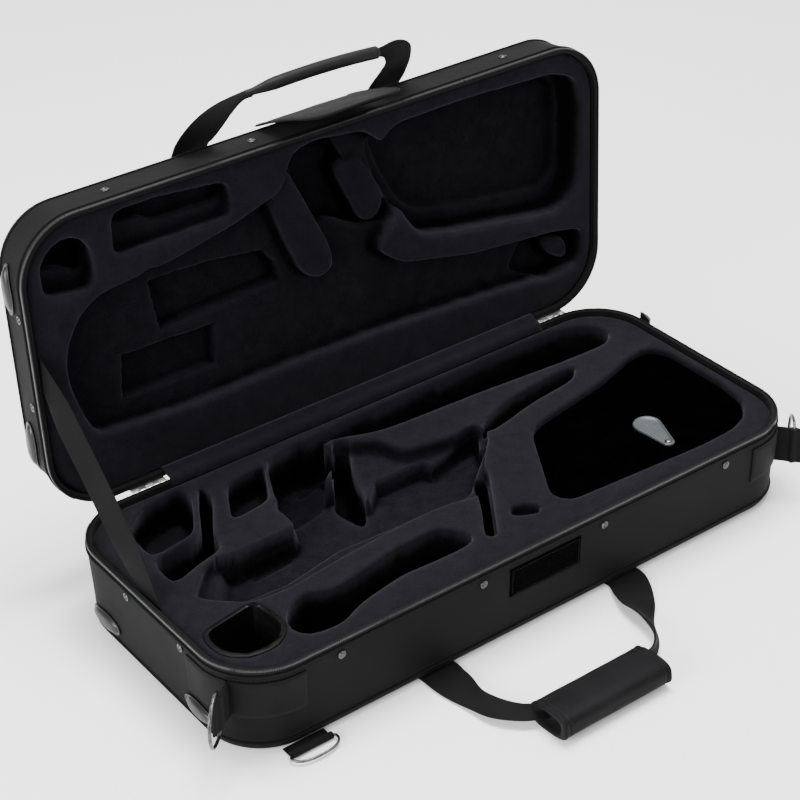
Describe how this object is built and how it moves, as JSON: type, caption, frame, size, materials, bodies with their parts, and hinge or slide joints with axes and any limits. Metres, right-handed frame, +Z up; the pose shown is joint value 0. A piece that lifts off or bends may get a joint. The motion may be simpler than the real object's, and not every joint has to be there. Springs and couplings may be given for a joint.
{
  "type": "instrument case",
  "caption": "Open zip-edged soft-shell case for an alto saxophone: hinged lid, moulded plush fitting, carry handles, strap rings and a covered pocket.",
  "frame": {"origin": "centre of the base's flat underside", "axes": "+X along the case's length towards the right end seen from the front, +Y from the front towards the hinged back, +Z up"},
  "size_m": [0.6955, 0.5013, 0.441],
  "materials": {
    "shell_fabric": "coarse black nylon weave with bound edges",
    "plush": "dark short pile over foam",
    "zip_tape": "woven tape with a moulded coil",
    "webbing": "ribbed black webbing",
    "wrap": "padded grained wrap",
    "grip": "satin moulded grip",
    "hook_loop": "hook and loop pile",
    "bumper": "glossy black",
    "stud": "black satin",
    "ring_metal": "satin grey plated",
    "hinge_metal": "dull plated",
    "slider_metal": "dark satin",
    "felt": "black felt",
    "pale_tab": "pale grey ribbon",
    "moulded_box": "moulded, fine grain"
  },
  "bodies": {
    "base": {"base_shell": "shell_fabric", "base_lining": "plush", "base_zip_tape": "zip_tape", "base_loop_patch": "hook_loop", "base_stud_front_1": "stud", "base_stud_front_2": "stud", "base_stud_front_3": "stud", "base_stud_front_4": "stud", "base_stud_left_rear": "stud", "base_stud_left_front": "stud", "base_stud_right_rear": "stud", "base_stud_right_front": "stud", "base_bumper_left_rear": "bumper", "base_bumper_left_front": "bumper", "base_bumper_right_rear": "bumper", "base_bumper_right_front": "bumper", "corner_tab_left": "shell_fabric", "corner_tab_right": "shell_fabric", "strap_anchor": "webbing", "hinge_base_leaf_left": "hinge_metal", "hinge_base_leaf_right": "hinge_metal", "stay_strap": "webbing"},
    "lid": {"lid_shell": "shell_fabric", "lid_lining": "plush", "lid_zip_tape": "zip_tape", "lid_stud_front_1": "stud", "lid_stud_front_2": "stud", "lid_stud_front_3": "stud", "lid_stud_front_4": "stud", "lid_stud_left_rear": "stud", "lid_stud_left_front": "stud", "lid_stud_right_rear": "stud", "lid_stud_right_front": "stud", "lid_bumper_left_rear": "bumper", "lid_bumper_left_front": "bumper", "lid_bumper_right_rear": "bumper", "lid_bumper_right_front": "bumper", "hinge_lid_leaf_left": "hinge_metal", "hinge_lid_leaf_right": "hinge_metal"},
    "lid_handle": {"lid_handle_webbing": "webbing", "lid_handle_grip": "grip"},
    "flap": {"lid_flap": "shell_fabric", "flap_hook_patch": "hook_loop"},
    "base_handle": {"base_handle_webbing": "webbing", "handle_wrap": "wrap"},
    "left_ring": {"left_ring": "ring_metal"},
    "right_ring": {"right_ring": "ring_metal"},
    "anchor_ring": {"anchor_ring": "ring_metal"},
    "cover": {"compartment_cover": "felt"},
    "cover_tab": {"cover_tab": "pale_tab"},
    "accessory_box": {"accessory_box": "moulded_box"},
    "zip_slider": {"zip_slider": "slider_metal"},
    "zip_pull": {"zip_pull": "slider_metal"}
  },
  "joints": [
    {"name": "lid_hinge", "type": "hinge", "parent": "base", "child": "lid", "pos_m": [0, 0.1476, 0.0885], "axis": [1, 0, 0], "range_deg": [0, 92], "deforming": ["stay_strap"]},
    {"name": "lid_handle_swing", "type": "hinge", "parent": "lid", "child": "lid_handle", "pos_m": [-0.01, 0.21301, 0.377], "axis": [1, 0, 0], "range_deg": [-120, 18]},
    {"name": "flap_lift", "type": "hinge", "parent": "lid", "child": "flap", "pos_m": [0.004, 0.21301, 0.377], "axis": [1, 0, 0], "range_deg": [-18, 15.8]},
    {"name": "base_handle_swing", "type": "hinge", "parent": "base", "child": "base_handle", "pos_m": [-0.01, -0.1471, 0.0015], "axis": [1, 0, 0], "range_deg": [-74, 0]},
    {"name": "left_ring_swing", "type": "hinge", "parent": "base", "child": "left_ring", "pos_m": [-0.33168, -0.1235, 0.059], "axis": [0, 0, 1], "range_deg": [-120, 90]},
    {"name": "right_ring_swing", "type": "hinge", "parent": "base", "child": "right_ring", "pos_m": [0.31449, -0.14399, 0.059], "axis": [0, 0, 1], "range_deg": [-205, 5]},
    {"name": "anchor_ring_swing", "type": "hinge", "parent": "base", "child": "anchor_ring", "pos_m": [-0.262, -0.153, 0.0037], "axis": [1, 0, 0], "range_deg": [-80, 0]},
    {"name": "cover_lift", "type": "slide", "parent": "base", "child": "cover", "axis": [0, 0, -1], "range_m": [-0.06, 0]},
    {"name": "tab_lift", "type": "hinge", "parent": "cover", "child": "cover_tab", "pos_m": [0.19904, -0.09584, 0.0813], "axis": [-0.9903, 0.1392, 0], "range_deg": [-60, 0]},
    {"name": "box_lift", "type": "slide", "parent": "base", "child": "accessory_box", "axis": [0, 0, -1], "range_m": [-0.065, 0]},
    {"name": "zip_run", "type": "slide", "parent": "base", "child": "zip_slider", "axis": [0, -1, 0], "range_m": [0, 0.12]},
    {"name": "pull_swing", "type": "hinge", "parent": "zip_slider", "child": "zip_pull", "pos_m": [0.3286, 0.081, 0.0925], "axis": [1, 0, 0], "range_deg": [-75, 75]}
  ]
}
